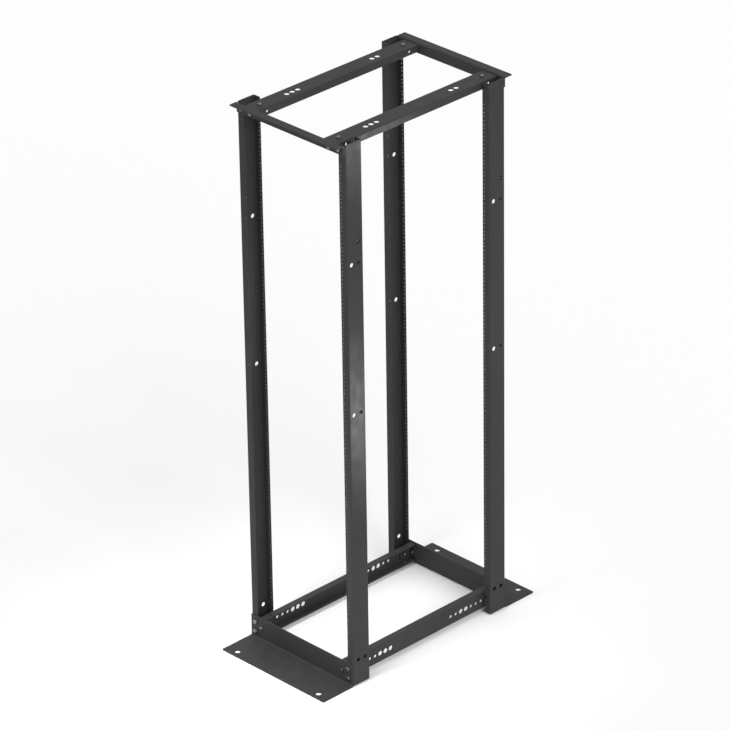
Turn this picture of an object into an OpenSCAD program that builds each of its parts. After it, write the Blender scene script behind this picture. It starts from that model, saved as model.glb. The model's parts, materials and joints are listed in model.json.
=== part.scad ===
// Four-post open rack frame for 19-inch equipment.
// Millimetres, +Z up. Origin on the floor in the middle of the rack,
// +X runs across the rack to the right, +Y runs from the front to the rear.

/* [Overall] */
// Outside width over the left and right posts
frame_w = 514.4; // [420:0.1:640]
// Outside depth over the front and rear posts
frame_d = 753.4; // [500:0.1:1100]
// Height from the floor to the top of the posts
frame_h = 2070; // [1500:1:2600]

/* [Posts] */
// Web of the post channel, front to rear
post_web = 76.2; // [60:0.1:120]
// Flange of the post channel, across the rack
post_flange = 31; // [25:0.5:50]
// Sheet thickness of the posts
post_t = 3; // [2:0.1:5]
// Inside radius of the post bends
post_bend = 2; // [1:0.1:5]
// Height of the post ends above the floor
post_lift = 5; // [0:0.5:20]

/* [Rack holes] */
// Height of one rack unit
unit_h = 44.45; // [44.45:0.01:45]
// Distance from the flange edge to the column of rack screw holes
rack_edge = 6.35; // [5:0.05:9]
// Least blank flange between the rack screw holes and the angles
rack_blank = 20; // [5:0.5:60]
// Rack screw hole diameter, inside its 12-24 thread
rack_hole = 4.6; // [4:0.1:9]
// Diameter of the holes in the post webs
web_hole = 16; // [6:0.5:20]
// Distance between the two columns of web holes
web_hole_pitch = 32; // [24:0.5:40]
// Height of the lowest pair of web holes
web_low = 101.5; // [60:0.5:200]
// Height of the upper pair of web holes above the middle pair
web_rise = 565; // [100:1:600]
// Height of the single web hole above the upper pair
web_single = 77; // [30:1:100]

/* [Base angles] */
// Foot length, measured from the post face outward
foot_l = 147.5; // [80:0.5:250]
// Height of the standing leg
base_leg = 88; // [70:0.5:140]
// Plate thickness of the base angles
base_t = 4.8; // [3:0.1:8]
// Inside radius of the base angle bend
base_bend = 6; // [2:0.5:12]
// Corner radius of the foot
foot_corner = 3; // [1:0.5:20]
// Amount the base and top angles stop short of the sides of the rack
angle_short = 2; // [0:0.5:10]
// Floor anchor hole diameter
anchor_hole = 22; // [8:0.5:25]
// Anchor hole distance from the side of the rack
anchor_in = 53; // [20:0.5:120]
// Anchor hole distance from the outer edge of the foot
anchor_edge = 25.5; // [15:0.5:60]

/* [Top angles] */
// Leg length of the top angles
top_leg = 37; // [34:0.5:60]
// Plate thickness of the top angles
top_t = 4.8; // [3:0.1:6]
// Inside radius of the top angle bend
top_bend = 3; // [1:0.5:5]

/* [Side rails] */
// Web width of the bottom rail channels and of the top rail angles
rail_web = 67; // [50:0.5:90]
// Flange depth of the bottom rail channels
rail_flange = 30; // [25:0.5:50]
// Depth of the down leg of the top rail angles
rail_leg = 27; // [22:0.5:50]
// Sheet thickness of the rails
rail_t = 3; // [2:0.1:5]
// Inside radius of the rail bends
rail_bend = 2; // [1:0.1:5]
// Height of the bottom rail centre line above the floor
rail_mid = 50.5; // [46:0.5:100]
// Drop of the top rail web below the post tops
rail_drop = 5; // [0:0.5:20]
// Pitch of the rail holes
rail_pitch = 25.4; // [22:0.1:32]
// Distance from the ends of the rack frame to the first rail hole
rail_first = 87; // [80:0.5:110]
// Diameter of the small rail holes
rail_small = 11.5; // [4:0.5:14]
// Diameter of the large rail holes
rail_large = 19; // [6:0.5:20]
// Distance from the ends of the rack frame to the rail flange holes
flange_hole_in = 41; // [25:0.5:70]
// Diameter of the rail flange holes
flange_hole = 9; // [5:0.5:14]

/* [Corner clips] */
// Length of the clip leg that lies along the rail
clip_long = 56; // [50:0.5:75]
// Length of the other leg beyond its bolt
clip_edge = 11.5; // [9:0.5:14]
// Plate thickness of the clips
clip_t = 4.8; // [3:0.1:6]
// Inside radius of the clip bend
clip_bend = 2.5; // [1:0.5:4]
// Distance from the ends of the rack frame to the bolt through the rail
rail_bolt_in = 38; // [30:0.5:46]

/* [Fasteners] */
// Thread diameter of the base bolts
base_bolt = 10; // [6, 8, 10]
// Thread diameter of the top and clip bolts
clip_bolt = 8; // [5, 6, 8]
// Height of the lower base bolt in each post
base_bolt_low = 28; // [24:0.5:32]
// Distance from the upper base bolt to the top edge of the base angle
base_bolt_edge = 22; // [14:0.5:26]
// Drop of the top bolt below the post top
top_bolt_drop = 20; // [18:0.5:24]
// Length of bolt that stands past its nut
bolt_end = 3; // [1:0.5:8]

/* [Fits] */
// Gap between the post flanges and the side rails
rail_gap = 4.5; // [3:0.5:15]
// Gap between the rail ends and the angles
end_gap = 1; // [0.5:0.1:4]
// Gap between the clips and the inside bends of the rails
clip_side = 4.5; // [0.5:0.5:8]
// Gap between the clip nuts and the inside bends of the clips
nut_room = 0.7; // [0.2:0.1:2]
// Clearance on the diameter of the bolt holes
bolt_fit = 1; // [0.4:0.1:2]
// Clearance on the diameter between nuts or washers and the bolts
thread_fit = 0.3; // [0.1:0.05:0.8]
// Gap between parts that lie flat against each other
seat = 0.05; // [0.02:0.01:0.2]

/* [Hidden] */
$fn = 32;
eps = 0.5;

// Bolts, nuts and washers, from their thread diameter
function flats(d) = d == 10 ? 16 : 1.625 * d;
function corners(d) = flats(d) / cos(30);
function head_h(d) = 0.66 * d;
function nut_h(d) = 0.82 * d;
function washer_t(d) = 0.2 * d;
function washer_d(d) = 2 * d;

// Rack screw holes fill the flange between the base angles and the top angles
unit_holes = [6.35, 22.225, 38.1];
hole_in = post_flange - rack_edge;
field_low = base_leg;
field_high = frame_h - top_leg;
field_mid = (field_low + field_high) / 2;
units = floor((field_high - field_low - 2 * rack_blank) / unit_h);
first_unit = field_mid - units * unit_h / 2;
rack_z = [for (u = [0 : units - 1], k = unit_holes) first_unit + u * unit_h + k];
web_z = [web_low, field_mid, field_mid + web_rise];

base_bolt_z = [base_bolt_low, base_leg - base_bolt_edge];
top_bolt_z = frame_h - top_bolt_drop;

rail_x = post_flange + rail_gap;
rail_top = frame_h - rail_drop;
top_rail_mid = rail_x + rail_web / 2;

clip_w = rail_web - 2 * (rail_t + rail_bend + clip_side);
clip_x = rail_x + rail_t + seat;
clip_z = rail_top - rail_t - seat;
angle_bolt_in = clip_t + clip_bend + corners(clip_bolt) / 2 + nut_room;
clip_short = angle_bolt_in + clip_edge;

steel = [0.22, 0.22, 0.23];
zinc = [0.70, 0.71, 0.72];

// Round cutter along +Z through a thickness l
module drill(d, l) translate([0, 0, -eps]) cylinder(d = d, h = l + 2 * eps);

// Cutter for a bolt along +Y
module bolt_hole(x, y, z, d, l) translate([x, y, z]) rotate([-90, 0, 0]) drill(d + bolt_fit, l);

// Channel section: web on the Y axis from 0 to w, flanges along +X
module channel_section(w, f, t, r) {
  ro = r + t;
  difference() {
    union() {
      translate([ro, 0]) square([f - ro, w]);
      translate([0, ro]) square([f, w - 2 * ro]);
      translate([ro, ro]) circle(r = ro);
      translate([ro, w - ro]) circle(r = ro);
    }
    union() {
      translate([ro, t]) square([f, w - 2 * t]);
      translate([t, ro]) square([f, w - 2 * ro]);
      translate([ro, ro]) circle(r = r);
      translate([ro, w - ro]) circle(r = r);
    }
  }
}

// Angle section: heel at the origin, leg a along +X and leg b along +Y
module angle_section(a, b, t, r) {
  ro = r + t;
  difference() {
    union() {
      translate([ro, 0]) square([a - ro, b]);
      translate([0, ro]) square([a, b - ro]);
      translate([ro, ro]) circle(r = ro);
    }
    union() {
      translate([ro, t]) square([a, b]);
      translate([t, ro]) square([a, b]);
      translate([ro, ro]) circle(r = r);
    }
  }
}

// Everything below is drawn for the front left corner, with the outer corner of the
// post at the origin, and corner() carries it to its place in the rack
module corner(right, rear) mirror([right ? 1 : 0, 0, 0]) mirror([0, rear ? 1 : 0, 0])
  translate([-frame_w / 2, -frame_d / 2, 0]) children();
module four() for (right = [false, true], rear = [false, true]) corner(right, rear) children();

// Post with its web at x = 0 and its front flange at y = 0, drilled alike through both flanges
module post() {
  difference() {
    translate([0, 0, post_lift]) linear_extrude(height = frame_h - post_lift)
      channel_section(post_web, post_flange, post_t, post_bend);
    for (z = rack_z) translate([hole_in, 0, z]) rotate([-90, 0, 0]) drill(rack_hole, post_web);
    for (z = base_bolt_z) bolt_hole(hole_in, 0, z, base_bolt, post_web);
    bolt_hole(hole_in, 0, top_bolt_z, clip_bolt, post_web);
    for (z = web_z, s = [-1, 1]) translate([0, (post_web + s * web_hole_pitch) / 2, z])
      rotate([0, 90, 0]) drill(web_hole, post_t);
    translate([0, (post_web - web_hole_pitch) / 2, web_z[2] + web_single])
      rotate([0, 90, 0]) drill(web_hole, post_t);
  }
}

// Cutter that rounds one outer corner of a foot
module foot_round(x, right) translate([x, -foot_l, -eps]) mirror([right ? 1 : 0, 0, 0])
  linear_extrude(height = base_t + 2 * eps) difference() {
    translate([-eps, -eps]) square(foot_corner + eps);
    translate([foot_corner, foot_corner]) circle(r = foot_corner);
  }

// Front base angle: leg against the post faces, foot pointing outward
module base_angle() {
  translate([0, -seat, 0]) difference() {
    translate([frame_w - angle_short, 0, 0]) rotate([90, 0, -90])
      linear_extrude(height = frame_w - 2 * angle_short)
        angle_section(foot_l, base_leg, base_t, base_bend);
    for (x = [anchor_in, frame_w - anchor_in])
      translate([x, anchor_edge - foot_l, 0]) drill(anchor_hole, base_t);
    for (x = [hole_in, frame_w - hole_in], z = base_bolt_z)
      bolt_hole(x, -base_t, z, base_bolt, base_t);
    for (x = [clip_x + angle_bolt_in, frame_w - clip_x - angle_bolt_in])
      bolt_hole(x, -base_t, rail_mid, clip_bolt, base_t);
    foot_round(angle_short, false);
    foot_round(frame_w - angle_short, true);
  }
}

// Front top angle: one leg down the post faces, one level leg pointing outward
module top_angle() {
  translate([0, -seat, 0]) difference() {
    translate([angle_short, 0, frame_h]) rotate([-90, 0, -90])
      linear_extrude(height = frame_w - 2 * angle_short)
        angle_section(top_leg, top_leg, top_t, top_bend);
    for (x = [hole_in, frame_w - hole_in]) bolt_hole(x, -top_t, top_bolt_z, clip_bolt, top_t);
    for (x = [top_rail_mid, frame_w - top_rail_mid])
      bolt_hole(x, -top_t, clip_z - angle_bolt_in, clip_bolt, top_t);
  }
}

// Section drawn in X and Y carried along +Y, so that its own Y axis points up
module along_rail() translate([0, frame_d - end_gap, 0]) rotate([90, 0, 0])
  linear_extrude(height = frame_d - 2 * end_gap) children();

// Cutters for the holes of a rail web that lies on the plane x = 0
module rail_holes(front_holes, rear_holes) {
  mid = rail_web / 2;
  for (n = front_holes) translate([0, rail_first + n * rail_pitch, mid])
    rotate([0, 90, 0]) drill(n > 2 ? rail_large : rail_small, rail_t);
  for (n = rear_holes) translate([0, frame_d - rail_first - n * rail_pitch, mid])
    rotate([0, 90, 0]) drill(n == 3 || n == 4 ? rail_large : rail_small, rail_t);
  for (y = [rail_bolt_in, frame_d - rail_bolt_in]) translate([0, y, mid])
    rotate([0, 90, 0]) drill(clip_bolt + bolt_fit, rail_t);
}

// Bottom rail: channel on edge with its flanges pointing into the rack
module bottom_rail() translate([rail_x, 0, rail_mid - rail_web / 2]) difference() {
  along_rail() channel_section(rail_web, rail_flange, rail_t, rail_bend);
  rail_holes([0 : 5], [0 : 6]);
  for (y = [flange_hole_in, frame_d - flange_hole_in])
    translate([rail_flange / 2, y, 0]) drill(flange_hole, rail_web);
}

// Top rail: angle with its wide leg level and its down leg on the right, alike on both sides
module top_rail() translate([rail_x, 0, rail_top]) rotate([0, 90, 0]) difference() {
  translate([0, 0, rail_web]) mirror([0, 0, 1])
    along_rail() angle_section(rail_leg, rail_web, rail_t, rail_bend);
  rail_holes([3 : 5], [3, 4]);
  for (y = [flange_hole_in, frame_d - flange_hole_in])
    translate([rail_leg / 2, y, rail_web - rail_t]) drill(flange_hole, rail_t);
}

// Clip: heel at the origin, short leg along +X, long leg along +Y, width along +Z
module clip() {
  difference() {
    linear_extrude(height = clip_w) angle_section(clip_short, clip_long, clip_t, clip_bend);
    translate([0, rail_bolt_in, clip_w / 2]) rotate([0, 90, 0])
      drill(clip_bolt + bolt_fit, clip_t);
    bolt_hole(angle_bolt_in, 0, clip_w / 2, clip_bolt, clip_t);
  }
}
module clip_bottom() translate([clip_x, 0, rail_mid - clip_w / 2]) clip();
module clip_top() translate([top_rail_mid - clip_w / 2, 0, clip_z]) rotate([0, 90, 0]) clip();

// Hex bolt along +Z with the underside of its head at z = 0
module bolt(d, grip) {
  translate([0, 0, -head_h(d)]) cylinder(d = corners(d), h = head_h(d), $fn = 6);
  translate([0, 0, -head_h(d) / 2]) cylinder(d = d, h = head_h(d) / 2 + grip + nut_h(d) + bolt_end);
}
module nut(d) difference() {
  cylinder(d = corners(d), h = nut_h(d), $fn = 6);
  drill(d + thread_fit, nut_h(d));
}
module washer(d) difference() {
  cylinder(d = washer_d(d), h = washer_t(d));
  drill(d + thread_fit, washer_t(d));
}

// Bolt stations of the front left corner, each turned so that +Z runs from head to nut
module at_base_bolts(y) for (z = base_bolt_z)
  translate([hole_in, y, z]) rotate([-90, 0, 0]) children();
module at_top_bolt(y) translate([hole_in, y, top_bolt_z]) rotate([-90, 0, 0]) children();
module at_angle_bolts(y_low, y_high) {
  translate([clip_x + angle_bolt_in, y_low, rail_mid]) rotate([-90, 0, 0]) children();
  translate([top_rail_mid, y_high, clip_z - angle_bolt_in]) rotate([-90, 0, 0]) children();
}
module at_rail_bolts(depth) {
  translate([rail_x + depth, rail_bolt_in, rail_mid]) rotate([0, 90, 0]) children();
  translate([top_rail_mid, rail_bolt_in, rail_top - depth]) rotate([0, 180, 0]) children();
}

module post_front_left() color(steel) corner(false, false) post();
module post_rear_left() color(steel) translate([0, frame_d - post_web, 0])
  corner(false, false) post();
module post_front_right() color(steel) rotate([0, 0, 180]) post_rear_left();
module post_rear_right() color(steel) rotate([0, 0, 180]) post_front_left();
module base_angle_front() color(steel) corner(false, false) base_angle();
module base_angle_rear() color(steel) corner(false, true) base_angle();
module bottom_rail_left() color(steel) corner(false, false) bottom_rail();
module bottom_rail_right() color(steel) corner(true, false) bottom_rail();
module top_angle_front() color(steel) corner(false, false) top_angle();
module top_angle_rear() color(steel) corner(false, true) top_angle();
module top_rail_left() color(steel) corner(false, false) top_rail();
module top_rail_right() color(steel) translate([frame_w - 2 * top_rail_mid, 0, 0])
  corner(false, false) top_rail();
module clip_bottom_front_left() color(steel) corner(false, false) clip_bottom();
module clip_bottom_front_right() color(steel) corner(true, false) clip_bottom();
module clip_bottom_rear_left() color(steel) corner(false, true) clip_bottom();
module clip_bottom_rear_right() color(steel) corner(true, true) clip_bottom();
module clip_top_front_left() color(steel) corner(false, false) clip_top();
module clip_top_front_right() color(steel) corner(true, false) clip_top();
module clip_top_rear_left() color(steel) corner(false, true) clip_top();
module clip_top_rear_right() color(steel) corner(true, true) clip_top();

module base_bolts() color(zinc) four() at_base_bolts(-base_t - 2 * seat)
  bolt(base_bolt, base_t + post_t + washer_t(base_bolt));
module base_washers() color(zinc) four() at_base_bolts(post_t + seat) washer(base_bolt);
module base_nuts() color(zinc) four()
  at_base_bolts(post_t + washer_t(base_bolt) + 2 * seat) nut(base_bolt);
module top_bolts() color(zinc) four() at_top_bolt(-top_t - 2 * seat)
  bolt(clip_bolt, top_t + post_t);
module top_nuts() color(zinc) four() at_top_bolt(post_t + seat) nut(clip_bolt);
module clip_angle_bolts() color(zinc) four() at_angle_bolts(-base_t - 2 * seat, -top_t - 2 * seat)
  bolt(clip_bolt, max(base_t, top_t) + clip_t);
module clip_angle_nuts() color(zinc) four() at_angle_bolts(clip_t + seat, clip_t + seat)
  nut(clip_bolt);
module clip_rail_bolts() color(zinc) four() at_rail_bolts(-seat)
  bolt(clip_bolt, rail_t + clip_t);
module clip_rail_nuts() color(zinc) four() at_rail_bolts(rail_t + clip_t + 2 * seat)
  nut(clip_bolt);

post_front_left();
post_front_right();
post_rear_left();
post_rear_right();
base_angle_front();
base_angle_rear();
bottom_rail_left();
bottom_rail_right();
top_angle_front();
top_angle_rear();
top_rail_left();
top_rail_right();
clip_bottom_front_left();
clip_bottom_front_right();
clip_bottom_rear_left();
clip_bottom_rear_right();
clip_top_front_left();
clip_top_front_right();
clip_top_rear_left();
clip_top_rear_right();
base_bolts();
base_washers();
base_nuts();
top_bolts();
top_nuts();
clip_angle_bolts();
clip_angle_nuts();
clip_rail_bolts();
clip_rail_nuts();
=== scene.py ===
import json
import bmesh
import bpy
from math import cos, hypot, radians, tan
from mathutils import Matrix, Vector


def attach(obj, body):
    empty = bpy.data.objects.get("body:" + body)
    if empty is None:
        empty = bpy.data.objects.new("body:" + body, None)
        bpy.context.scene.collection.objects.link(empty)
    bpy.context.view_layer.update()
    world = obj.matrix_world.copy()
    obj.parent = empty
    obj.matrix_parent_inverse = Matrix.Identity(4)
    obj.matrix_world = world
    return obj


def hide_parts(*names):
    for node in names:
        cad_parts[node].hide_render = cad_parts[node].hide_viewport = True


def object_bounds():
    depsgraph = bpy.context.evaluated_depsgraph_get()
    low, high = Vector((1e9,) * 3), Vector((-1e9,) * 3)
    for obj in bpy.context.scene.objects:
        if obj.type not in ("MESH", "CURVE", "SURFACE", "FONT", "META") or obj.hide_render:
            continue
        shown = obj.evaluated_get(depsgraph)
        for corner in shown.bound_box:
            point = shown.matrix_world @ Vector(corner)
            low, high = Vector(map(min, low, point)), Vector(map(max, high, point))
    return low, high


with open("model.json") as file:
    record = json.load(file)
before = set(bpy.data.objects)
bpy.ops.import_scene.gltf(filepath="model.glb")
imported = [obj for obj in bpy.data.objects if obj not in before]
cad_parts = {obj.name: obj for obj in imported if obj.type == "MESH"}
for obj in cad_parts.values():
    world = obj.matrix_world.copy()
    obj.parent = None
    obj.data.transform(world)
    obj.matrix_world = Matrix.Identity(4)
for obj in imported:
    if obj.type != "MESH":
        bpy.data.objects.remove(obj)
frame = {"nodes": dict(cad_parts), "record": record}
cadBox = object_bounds()
rackWidth = cadBox[1].x - cadBox[0].x
print("frame loaded, rack is", round(rackWidth, 4), "m wide")


# small helpers

def onlySelect(*pieces):
    bpy.ops.object.select_all(action="DESELECT")
    for piece in pieces:
        piece.select_set(True)
    bpy.context.view_layer.objects.active = pieces[0]


def applyModifier(piece, kind, **settings):
    onlySelect(piece)
    modifier = piece.modifiers.new(kind.lower(), kind)
    for setting, value in settings.items():
        setattr(modifier, setting, value)
    bpy.ops.object.modifier_apply(modifier=modifier.name)


def cutWith(piece, tool, operation):  # the tool is used up
    applyModifier(piece, "BOOLEAN", object=tool, operation=operation, solver="EXACT")
    bpy.data.objects.remove(tool)


def mergeClose(distance):  # in the active piece
    bpy.ops.object.mode_set(mode="EDIT")
    bpy.ops.mesh.select_all(action="SELECT")
    bpy.ops.mesh.remove_doubles(threshold=distance)
    bpy.ops.mesh.dissolve_degenerate(threshold=distance)
    bpy.ops.object.mode_set(mode="OBJECT")


def addDisc(low, high, radius, sides=48, topRadius=None):
    bpy.ops.object.select_all(action="DESELECT")
    middle = (0, 0, (low + high) / 2)
    if topRadius is None:
        bpy.ops.mesh.primitive_cylinder_add(
            vertices=sides, radius=radius, depth=high - low, location=middle)
    else:
        bpy.ops.mesh.primitive_cone_add(
            vertices=sides, radius1=radius, radius2=topRadius, depth=high - low, location=middle)
    disc = bpy.context.object
    bpy.ops.object.transform_apply(location=True)
    return disc


# node material helpers

def newMaterial(name):
    material = bpy.data.materials.new(name)
    material.use_nodes = True
    tree = material.node_tree
    shader = tree.nodes["Principled BSDF"]
    place = tree.nodes.new("ShaderNodeTexCoord").outputs["Object"]
    return material, tree, shader, place


def addNoise(tree, place, size, detail, stretch=(1, 1, 1), distortion=0.0):
    mapping = tree.nodes.new("ShaderNodeMapping")
    mapping.inputs["Scale"].default_value = [part / size for part in stretch]
    noise = tree.nodes.new("ShaderNodeTexNoise")
    noise.inputs["Scale"].default_value = 1.0
    noise.inputs["Detail"].default_value = detail
    noise.inputs["Distortion"].default_value = distortion
    tree.links.new(place, mapping.inputs["Vector"])
    tree.links.new(mapping.outputs["Vector"], noise.inputs["Vector"])
    return noise.outputs["Fac"]


def spread(tree, value, low, high, fromLow=0.3, fromHigh=0.7):
    ranged = tree.nodes.new("ShaderNodeMapRange")
    ranged.inputs["From Min"].default_value = fromLow
    ranged.inputs["From Max"].default_value = fromHigh
    ranged.inputs["To Min"].default_value = low
    ranged.inputs["To Max"].default_value = high
    tree.links.new(value, ranged.inputs["Value"])
    return ranged.outputs["Result"]


def blendColours(tree, amount, first, second):  # each a colour or an output
    mix = tree.nodes.new("ShaderNodeMix")
    mix.data_type = "RGBA"  # its colour sockets are inputs 6 and 7 and output 2
    for socket, colour in ((mix.inputs[6], first), (mix.inputs[7], second)):
        if hasattr(colour, "links"):
            tree.links.new(colour, socket)
        else:
            socket.default_value = (*colour, 1)
    tree.links.new(amount, mix.inputs["Factor"])
    return mix.outputs[2]


def addBump(tree, shader, height, distance, strength=1.0, under=None):
    bump = tree.nodes.new("ShaderNodeBump")
    bump.inputs["Distance"].default_value = distance
    bump.inputs["Strength"].default_value = strength
    tree.links.new(height, bump.inputs["Height"])
    if under is not None:
        tree.links.new(under, bump.inputs["Normal"])
    tree.links.new(bump.outputs["Normal"], shader.inputs["Normal"])
    return bump.outputs["Normal"]


# powder coat

coatLook = {
    "dark": (0.033, 0.033, 0.035),
    "light": (0.042, 0.042, 0.044),
    "dust": (0.075, 0.073, 0.070),
    "worn": (0.080, 0.081, 0.084),
    "gloss": 0.10,
    "rough": (0.42, 0.56),
    "edgeWear": 0.35,
    "wearPolish": 0.1,  # taken off the roughness at full wear
    "wearFrom": (0.40, 0.62),
    "dustFrom": (0.6, 1.0),  # how far a face turns up
    "dustCover": (0.05, 0.30),
    "drift": {"size": 0.30, "detail": 4.0, "stretch": (1, 1, 0.4)},
    "smudge": {"size": 0.030, "detail": 5.0, "stretch": (1, 1, 0.6), "distortion": 0.4},
    "chip": {"size": 0.012, "detail": 6.0, "stretch": (1, 1, 0.5), "distortion": 0.8},
    "peel": {"size": 0.0030, "detail": 2.0},
    "peelBump": {"distance": 0.00009, "strength": 0.7},
    "grain": {"size": 0.0007, "detail": 2.0},
    "grainBump": {"distance": 0.00003, "strength": 0.6},
}


def makeCoat(name, wear):
    material, tree, shader, place = newMaterial(name)
    drift = addNoise(tree, place, **coatLook["drift"])
    smudge = addNoise(tree, place, **coatLook["smudge"])
    peel = addNoise(tree, place, **coatLook["peel"])
    grain = addNoise(tree, place, **coatLook["grain"])
    base = blendColours(tree, spread(tree, drift, 0, 1), coatLook["dark"], coatLook["light"])
    # a film of dust settles on what faces up
    facing = tree.nodes.new("ShaderNodeSeparateXYZ")
    surface = tree.nodes.new("ShaderNodeNewGeometry")
    tree.links.new(surface.outputs["Normal"], facing.inputs["Vector"])
    settled = tree.nodes.new("ShaderNodeMath")
    settled.operation = "MULTIPLY"
    upward = spread(tree, facing.outputs["Z"], 0, 1, *coatLook["dustFrom"])
    tree.links.new(upward, settled.inputs[0])
    tree.links.new(spread(tree, smudge, *coatLook["dustCover"]), settled.inputs[1])
    colour = blendColours(tree, settled.outputs[0], base, coatLook["dust"])
    if wear > 0:
        chip = addNoise(tree, place, **coatLook["chip"])
        rubbed = spread(tree, chip, 0, wear, *coatLook["wearFrom"])
        colour = blendColours(tree, rubbed, colour, coatLook["worn"])
    tree.links.new(colour, shader.inputs["Base Color"])
    smooth, rough = (value - coatLook["wearPolish"] * wear for value in coatLook["rough"])
    tree.links.new(spread(tree, smudge, smooth, rough), shader.inputs["Roughness"])
    soft = addBump(tree, shader, peel, **coatLook["peelBump"])
    addBump(tree, shader, grain, under=soft, **coatLook["grainBump"])
    shader.inputs["Specular IOR Level"].default_value = coatLook["gloss"]
    return material


coat = makeCoat("powderCoat", 0.0)
coatEdge = makeCoat("powderCoatEdge", coatLook["edgeWear"])


# bare metals

def makeMetal(name, look, clouds):
    material, tree, shader, place = newMaterial(name)
    cloud = addNoise(tree, place, **look[clouds])
    colour = blendColours(tree, spread(tree, cloud, 0, 1), look["dark"], look["light"])
    tree.links.new(colour, shader.inputs["Base Color"])
    tree.links.new(spread(tree, cloud, *look["rough"]), shader.inputs["Roughness"])
    shader.inputs["Metallic"].default_value = 1.0
    return material, tree, shader, place


# threaded steel inside the screw holes, its colour kept near black as painted shade so the holes
# read dark

threadShadeLook = {
    "dark": (0.020, 0.019, 0.018),
    "light": (0.055, 0.053, 0.050),
    "rough": (0.32, 0.50),
    "oil": {"size": 0.006, "detail": 4.0},
    "pitch": 0.00106,
    "bandLength": 0.314159,  # of a wave texture at scale 1
    "ridge": 0.0003,
}


# near-black metal: painted shade on the walls of the screw holes, over a real thread bump
def makeTappedShaded():
    material, tree, shader, place = makeMetal("tappedSteelPaintedShade", threadShadeLook, "oil")
    wave = tree.nodes.new("ShaderNodeTexWave")
    wave.bands_direction = "Y"
    wave.inputs["Scale"].default_value = threadShadeLook["bandLength"] / threadShadeLook["pitch"]
    tree.links.new(place, wave.inputs["Vector"])
    addBump(tree, shader, wave.outputs["Fac"], threadShadeLook["ridge"])
    return material


tappedShaded = makeTappedShaded()


# zinc plate

zincLook = {
    "dark": (0.17, 0.18, 0.195),
    "light": (0.25, 0.245, 0.23),
    "rough": (0.32, 0.48),
    "cloud": {"size": 0.006, "detail": 4.0, "distortion": 0.6},
    "brush": {"size": 0.0006, "detail": 3.0, "stretch": (1, 0.15, 1)},
    "brushBump": {"distance": 0.00002, "strength": 0.6},
}


def makeZinc():
    material, tree, shader, place = makeMetal("zincPlate", zincLook, "cloud")
    brush = addNoise(tree, place, **zincLook["brush"])
    addBump(tree, shader, brush, **zincLook["brushBump"])
    return material


zinc = makeZinc()
print("finishes made")


# rack screw holes, from the record's mounts

mounts = {mount["name"]: mount for mount in frame["record"]["mounts"]}
lowMount = mounts["front_rack_screws_low"]
highMount = mounts["front_rack_screws_high"]
screwHole = {
    "across": lowMount["dims"]["spacing_x_mm"] / 2000,  # from the middle of the rack
    "step": lowMount["dims"]["spacing_y_mm"] / 2000,  # between the holes of a unit
    "radius": lowMount["dims"]["hole_r_mm"] / 1000,
    "low": lowMount["pos_m"][2],
    "high": highMount["pos_m"][2],
    "unit": 0.04445,
    "slack": 0.0002,
    "tilt": 0.1,  # of the wall of a hole, at most
}
unitCount = round((screwHole["high"] - screwHole["low"]) / screwHole["unit"]) + 1
holeHeights = [screwHole["low"] + unit * screwHole["unit"] + side * screwHole["step"]
               for unit in range(unitCount) for side in (-1, 0, 1)]


# steel sections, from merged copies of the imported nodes

sheetEdge = {
    "round": 0.0004,
    "steps": 2,
    "sharpest": 40.0,
    "faceWeight": 50,
    "merge": 0.000005,
}
finishes = (coat, coatEdge, tappedShaded)
coatSlot, edgeSlot, tapShadeSlot = range(len(finishes))


def tapAndShadeHoles(piece):  # the walls of the rack screw holes are bare threaded steel, painted near black as shade inside the holes
    for wall in piece.data.polygons:
        if abs(wall.normal.y) > screwHole["tilt"] or wall.material_index != coatSlot:
            continue
        across = abs(wall.center.x) - screwHole["across"]
        up = min(abs(wall.center.z - height) for height in holeHeights)
        if abs(hypot(across, up) - screwHole["radius"]) < screwHole["slack"]:
            wall.material_index = tapShadeSlot


def coatedPiece(node):
    onlySelect(frame["nodes"][node])
    bpy.ops.object.duplicate()
    piece = bpy.context.object
    piece.name = node + "_coated"
    piece.data.name = piece.name
    piece.data.materials.clear()
    for finish in finishes:
        piece.data.materials.append(finish)
    mergeClose(sheetEdge["merge"])
    if piece.data.has_custom_normals:
        bpy.ops.mesh.customdata_custom_splitnormals_clear()
    applyModifier(piece, "BEVEL", width=sheetEdge["round"], segments=sheetEdge["steps"],
                  limit_method="ANGLE", angle_limit=radians(sheetEdge["sharpest"]),
                  material=edgeSlot, use_clamp_overlap=True, loop_slide=False)
    bpy.ops.object.shade_smooth()
    applyModifier(piece, "WEIGHTED_NORMAL", mode="FACE_AREA", weight=sheetEdge["faceWeight"],
                  keep_sharp=False)
    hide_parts(node)
    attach(piece, "root")
    return piece


fasteners = [node for node in frame["nodes"] if node.endswith(("bolts", "nuts", "washers"))]
sections = [node for node in frame["nodes"] if node not in fasteners]
for node in sections:
    steel = coatedPiece(node)
    if node.startswith("post"):
        tapAndShadeHoles(steel)
    print("  ", steel.name, len(steel.data.polygons), "faces")
print("steel sections made")


# bolts, nuts and washers, each turned to its place on the rack

hexSizes = {
    "M10": {"flats": 0.016, "head": 0.0066, "thread": 0.010, "pitch": 0.0015},
    "M8": {"flats": 0.013, "head": 0.00528, "thread": 0.008, "pitch": 0.00125},
}
hexShape = {
    "crown": 0.95,  # flat top of a head or nut, of its flats
    "slope": 30.0,  # of its chamfer, in degrees
    "crownSides": 64,
    "washerFace": 0.0004,
    "spare": 0.001,  # cut off a blank
    "edge": 0.00015,
    "edgeAngle": 25.0,
    "smoothAngle": 32.0,
    "merge": 0.000004,
}


def hexBlank(flats, low, high):
    halfSide = radians(30)
    blank = addDisc(low, high, flats / 2 / cos(halfSide), 6)
    blank.rotation_euler.z = halfSide  # a corner on +X
    bpy.ops.object.transform_apply(rotation=True)
    return blank


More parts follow.
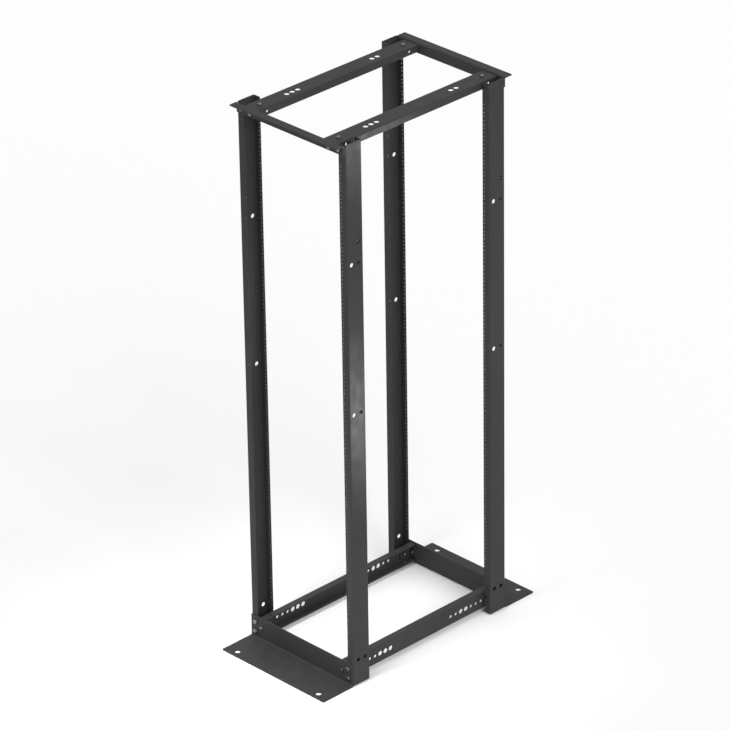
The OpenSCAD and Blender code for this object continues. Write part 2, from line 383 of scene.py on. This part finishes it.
def crownTool(flats, top, reach, downward):  # cone frustum that takes the corners off
    crown = hexShape["crown"] * flats / 2
    foot = crown + reach / tan(radians(hexShape["slope"]))
    if downward:
        return addDisc(top, top + reach, crown, hexShape["crownSides"], foot)
    return addDisc(top - reach, top, foot, hexShape["crownSides"], crown)


threadShape = {
    "depth": 0.61,  # of the pitch, as the next four
    "flank": 0.40,
    "rootFlat": 0.12,
    "crestFlat": 0.08,
    "plainTip": 1.5,
    "longTip": 0.3,  # of the diameter
    "tipEnd": 0.8,  # what is left of the diameter at a long tip
    "sides": 32,
    "endTurn": 0.9,  # how far its end face turns up, at least
}


def growShank(z, rise, scale):  # the selected end face, up and in or out
    bpy.ops.mesh.extrude_region_move(TRANSFORM_OT_translate={"value": (0, 0, rise)})
    bpy.ops.transform.resize(value=(scale, scale, 1), center_override=(0, 0, z + rise))
    return z + rise


def threadedShank(low, threadFrom, tip, thread, pitch):
    shank = addDisc(low, threadFrom, thread / 2, threadShape["sides"])
    bpy.ops.object.mode_set(mode="EDIT")
    bpy.ops.mesh.select_all(action="DESELECT")
    mesh = bmesh.from_edit_mesh(shank.data)
    for face in mesh.faces:
        face.select_set(face.normal.z > threadShape["endTurn"])
    bmesh.update_edit_mesh(shank.data)
    root = 1 - 2 * threadShape["depth"] * pitch / thread
    z = threadFrom
    while z < tip - threadShape["plainTip"] * pitch:
        z = growShank(z, threadShape["flank"] * pitch, root)
        z = growShank(z, threadShape["rootFlat"] * pitch, 1)
        z = growShank(z, threadShape["flank"] * pitch, 1 / root)
        z = growShank(z, threadShape["crestFlat"] * pitch, 1)
    isShort = tip - z < threadShape["longTip"] * thread
    growShank(z, tip - z, 1 - 2 * (tip - z) / thread if isShort else threadShape["tipEnd"])
    bpy.ops.object.mode_set(mode="OBJECT")
    return shank


def hexBolt(shape, grip, tip):  # its origin is under its head, and it points up
    flats, head = shape["flats"], shape["head"]
    bolt = hexBlank(flats, -head - hexShape["spare"], -hexShape["washerFace"])
    cutWith(bolt, crownTool(flats, -head, head, True), "INTERSECT")
    cutWith(bolt, addDisc(-head / 2, 0, hexShape["crown"] * flats / 2), "UNION")
    cutWith(bolt, threadedShank(-head / 2, grip, tip, shape["thread"], shape["pitch"]), "UNION")
    return bolt


nutHole = {  # its thread isn't cut, only its bore and the sinks at both ends
    "slack": 0.0003,
    "sink": 0.0008,
    "rise": 0.0004,
    "inward": 0.0002,
    "outward": 0.001,
}


def hexNut(shape, thick):
    flats, half, spare = shape["flats"], thick / 2, hexShape["spare"]
    hole = (shape["thread"] + nutHole["slack"]) / 2
    nut = hexBlank(flats, -half - spare, half + spare)
    cutWith(nut, crownTool(flats, -half, thick + spare, True), "INTERSECT")
    cutWith(nut, crownTool(flats, half, thick + spare, False), "INTERSECT")
    cutWith(nut, addDisc(-thick, thick, hole), "DIFFERENCE")
    for isUnder in (True, False):
        sink = addDisc(half - nutHole["sink"], half + nutHole["rise"],
                       hole - nutHole["inward"], topRadius=hole + nutHole["outward"])
        if isUnder:
            sink.rotation_euler.x = radians(180)
            bpy.ops.object.transform_apply(rotation=True)
        cutWith(nut, sink, "DIFFERENCE")
    return nut


washerShape = {"across": 0.020, "hole": 0.0103}


def flatWasher(thick):
    washer = addDisc(-thick / 2, thick / 2, washerShape["across"] / 2)
    cutWith(washer, addDisc(-thick, thick, washerShape["hole"] / 2), "DIFFERENCE")
    return washer


def solidsOf(node):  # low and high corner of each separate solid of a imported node
    onlySelect(frame["nodes"][node])
    bpy.ops.object.duplicate()
    bpy.ops.object.mode_set(mode="EDIT")
    bpy.ops.mesh.select_all(action="SELECT")
    bpy.ops.mesh.remove_doubles(threshold=sheetEdge["merge"])
    bpy.ops.mesh.separate(type="LOOSE")
    bpy.ops.object.mode_set(mode="OBJECT")
    boxes = []
    for part in list(bpy.context.selected_objects):
        corners = [vertex.co for vertex in part.data.vertices]
        boxes.append([Vector([pick(corner[k] for corner in corners) for k in range(3)])
                      for pick in (min, max)])
        bpy.data.objects.remove(part)
    return boxes


def sizeOf(node):  # of its first solid
    low, high = solidsOf(node)[0]
    return high - low


def placeCopies(master, node, head=None):  # only a bolt has a head
    copies = []
    for low, high in solidsOf(node):
        size, middle = high - low, (low + high) / 2
        along = min if head is None else max
        axis = along(range(3), key=lambda k: size[k])
        outward = 1 if axis == 2 or middle[axis] > 0 else -1
        inward = Vector((0, 0, 0))
        inward[axis] = -outward
        corner = Vector((0, 0, 1)) if axis == 0 else Vector((1, 0, 0))
        start = middle.copy()
        if head is not None:
            headEnd = high[axis] if outward > 0 else low[axis]
            start[axis] = headEnd - outward * head
        onlySelect(master)
        bpy.ops.object.duplicate()
        copy = bpy.context.object
        turned = Matrix((corner, inward.cross(corner), inward)).transposed()
        copy.matrix_world = Matrix.Translation(start) @ turned.to_4x4()
        bpy.ops.object.transform_apply(location=True, rotation=True)
        copies.append(copy)
    bpy.data.objects.remove(master)
    onlySelect(*copies)
    bpy.ops.object.join()
    group = bpy.context.object
    group.name = node + "_plated"
    group.data.name = group.name
    applyModifier(group, "BEVEL", width=hexShape["edge"], segments=1, limit_method="ANGLE",
                  angle_limit=radians(hexShape["edgeAngle"]), use_clamp_overlap=True,
                  loop_slide=False)
    mergeClose(hexShape["merge"])
    bpy.ops.object.shade_smooth_by_angle(angle=radians(hexShape["smoothAngle"]))
    group.data.materials.clear()
    group.data.materials.append(zinc)
    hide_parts(node)
    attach(group, "root")
    print("  ", group.name, len(copies), "of", len(group.data.polygons), "faces in all")


bolts = {  # size, and the room under the head before the thread
    "base_bolts": ("M10", 0.0080),
    "top_bolts": ("M8", 0.0060),
    "clip_angle_bolts": ("M8", 0.0070),
    "clip_rail_bolts": ("M8", 0.0060),
}
nuts = {"base_nuts": "M10", "top_nuts": "M8", "clip_angle_nuts": "M8", "clip_rail_nuts": "M8"}

for node, (size, plain) in bolts.items():
    head = hexSizes[size]["head"]
    placeCopies(hexBolt(hexSizes[size], plain, max(sizeOf(node)) - head), node, head)
for node, size in nuts.items():
    placeCopies(hexNut(hexSizes[size], min(sizeOf(node))), node)
placeCopies(flatWasher(min(sizeOf("base_washers"))), "base_washers")
print("bolts, nuts and washers made")


# floor, light and camera

studio = {
    "floorSize": 60.0,
    "floorTone": (0.95, 0.95, 0.95),
    "floorRough": 0.9,
    "floorGloss": 0.1,
    "sky": (1.0, 1.0, 1.0),
    "skyStrength": 0.82,
    "sunFrom": (0.80, -0.15, 0.57),
    "sunStrength": 1.20,
    "sunWidth": 40.0,
}


def makePaper():
    material, _, shader, _ = newMaterial("floorPaper")
    shader.inputs["Base Color"].default_value = (*studio["floorTone"], 1)
    shader.inputs["Roughness"].default_value = studio["floorRough"]
    shader.inputs["Specular IOR Level"].default_value = studio["floorGloss"]
    return material


bpy.ops.object.select_all(action="DESELECT")
bpy.ops.mesh.primitive_plane_add(size=studio["floorSize"], location=(0, 0, 0))
floor = bpy.context.object
floor.name = "studio_floor"
floor.data.materials.append(makePaper())

world = bpy.data.worlds.new("studioSky")
world.use_nodes = True
sky = world.node_tree.nodes["Background"]
sky.inputs["Color"].default_value = (*studio["sky"], 1)
sky.inputs["Strength"].default_value = studio["skyStrength"]
bpy.context.scene.world = world

bpy.ops.object.light_add(type="SUN")
sun = bpy.context.object
sun.name = "softSun"
sun.data.energy = studio["sunStrength"]
sun.data.angle = radians(studio["sunWidth"])
sun.rotation_euler = Vector(studio["sunFrom"]).to_track_quat("Z", "Y").to_euler()

# small lamps for the sheen on the right front post and on the rail above it, and one over the foot
lamps = {
    "postSheen": {"at": (1.53, 0.90, 0.14), "aim": (0.257, -0.34, 1.05), "size": 0.30,
                  "watts": 0.4, "beam": 18.0},
    "railSheen": {"at": (1.49, 1.00, 1.13), "aim": (0.22, -0.24, 2.05), "size": 0.25,
                  "watts": 0.15, "beam": 12.0},
    "footFill": {"at": (0.10, -1.90, 2.60), "aim": (0.0, -0.46, 0.0), "size": 0.80,
                 "watts": 2.8, "beam": 40.0},
}
for name, box in lamps.items():
    bpy.ops.object.light_add(type="AREA", location=box["at"])
    lamp = bpy.context.object
    lamp.name = name
    lamp.data.shape = "DISK"
    lamp.data.size = box["size"]
    lamp.data.energy = box["watts"]
    lamp.data.spread = radians(box["beam"])
    facing = Vector(box["aim"]) - Vector(box["at"])
    lamp.rotation_euler = facing.to_track_quat("-Z", "Y").to_euler()
    lamp.visible_camera = False

view = {
    "azimuth": 45.82,
    "elevation": 27.58,
    "roll": -0.92,
    "distance": 16.918,
    "aim": (-0.0252, -0.0263, 1.0267),
    "lens": 241.6,
    "sensor": 36.0,
    "farthest": 200.0,
}
turn = (Matrix.Rotation(radians(view["azimuth"]), 4, "Z")
        @ Matrix.Rotation(radians(90 - view["elevation"]), 4, "X")
        @ Matrix.Rotation(radians(view["roll"]), 4, "Z"))
bpy.ops.object.camera_add()
camera = bpy.context.object
camera.name = "studio_camera"
camera.data.lens = view["lens"]
camera.data.sensor_width = view["sensor"]
camera.data.clip_end = view["farthest"]
away = turn.to_3x3() @ Vector((0, 0, view["distance"]))
camera.matrix_world = Matrix.Translation(Vector(view["aim"]) + away) @ turn
bpy.context.scene.camera = camera
bpy.context.scene.view_settings.view_transform = "Standard"
print("floor, light and camera set")
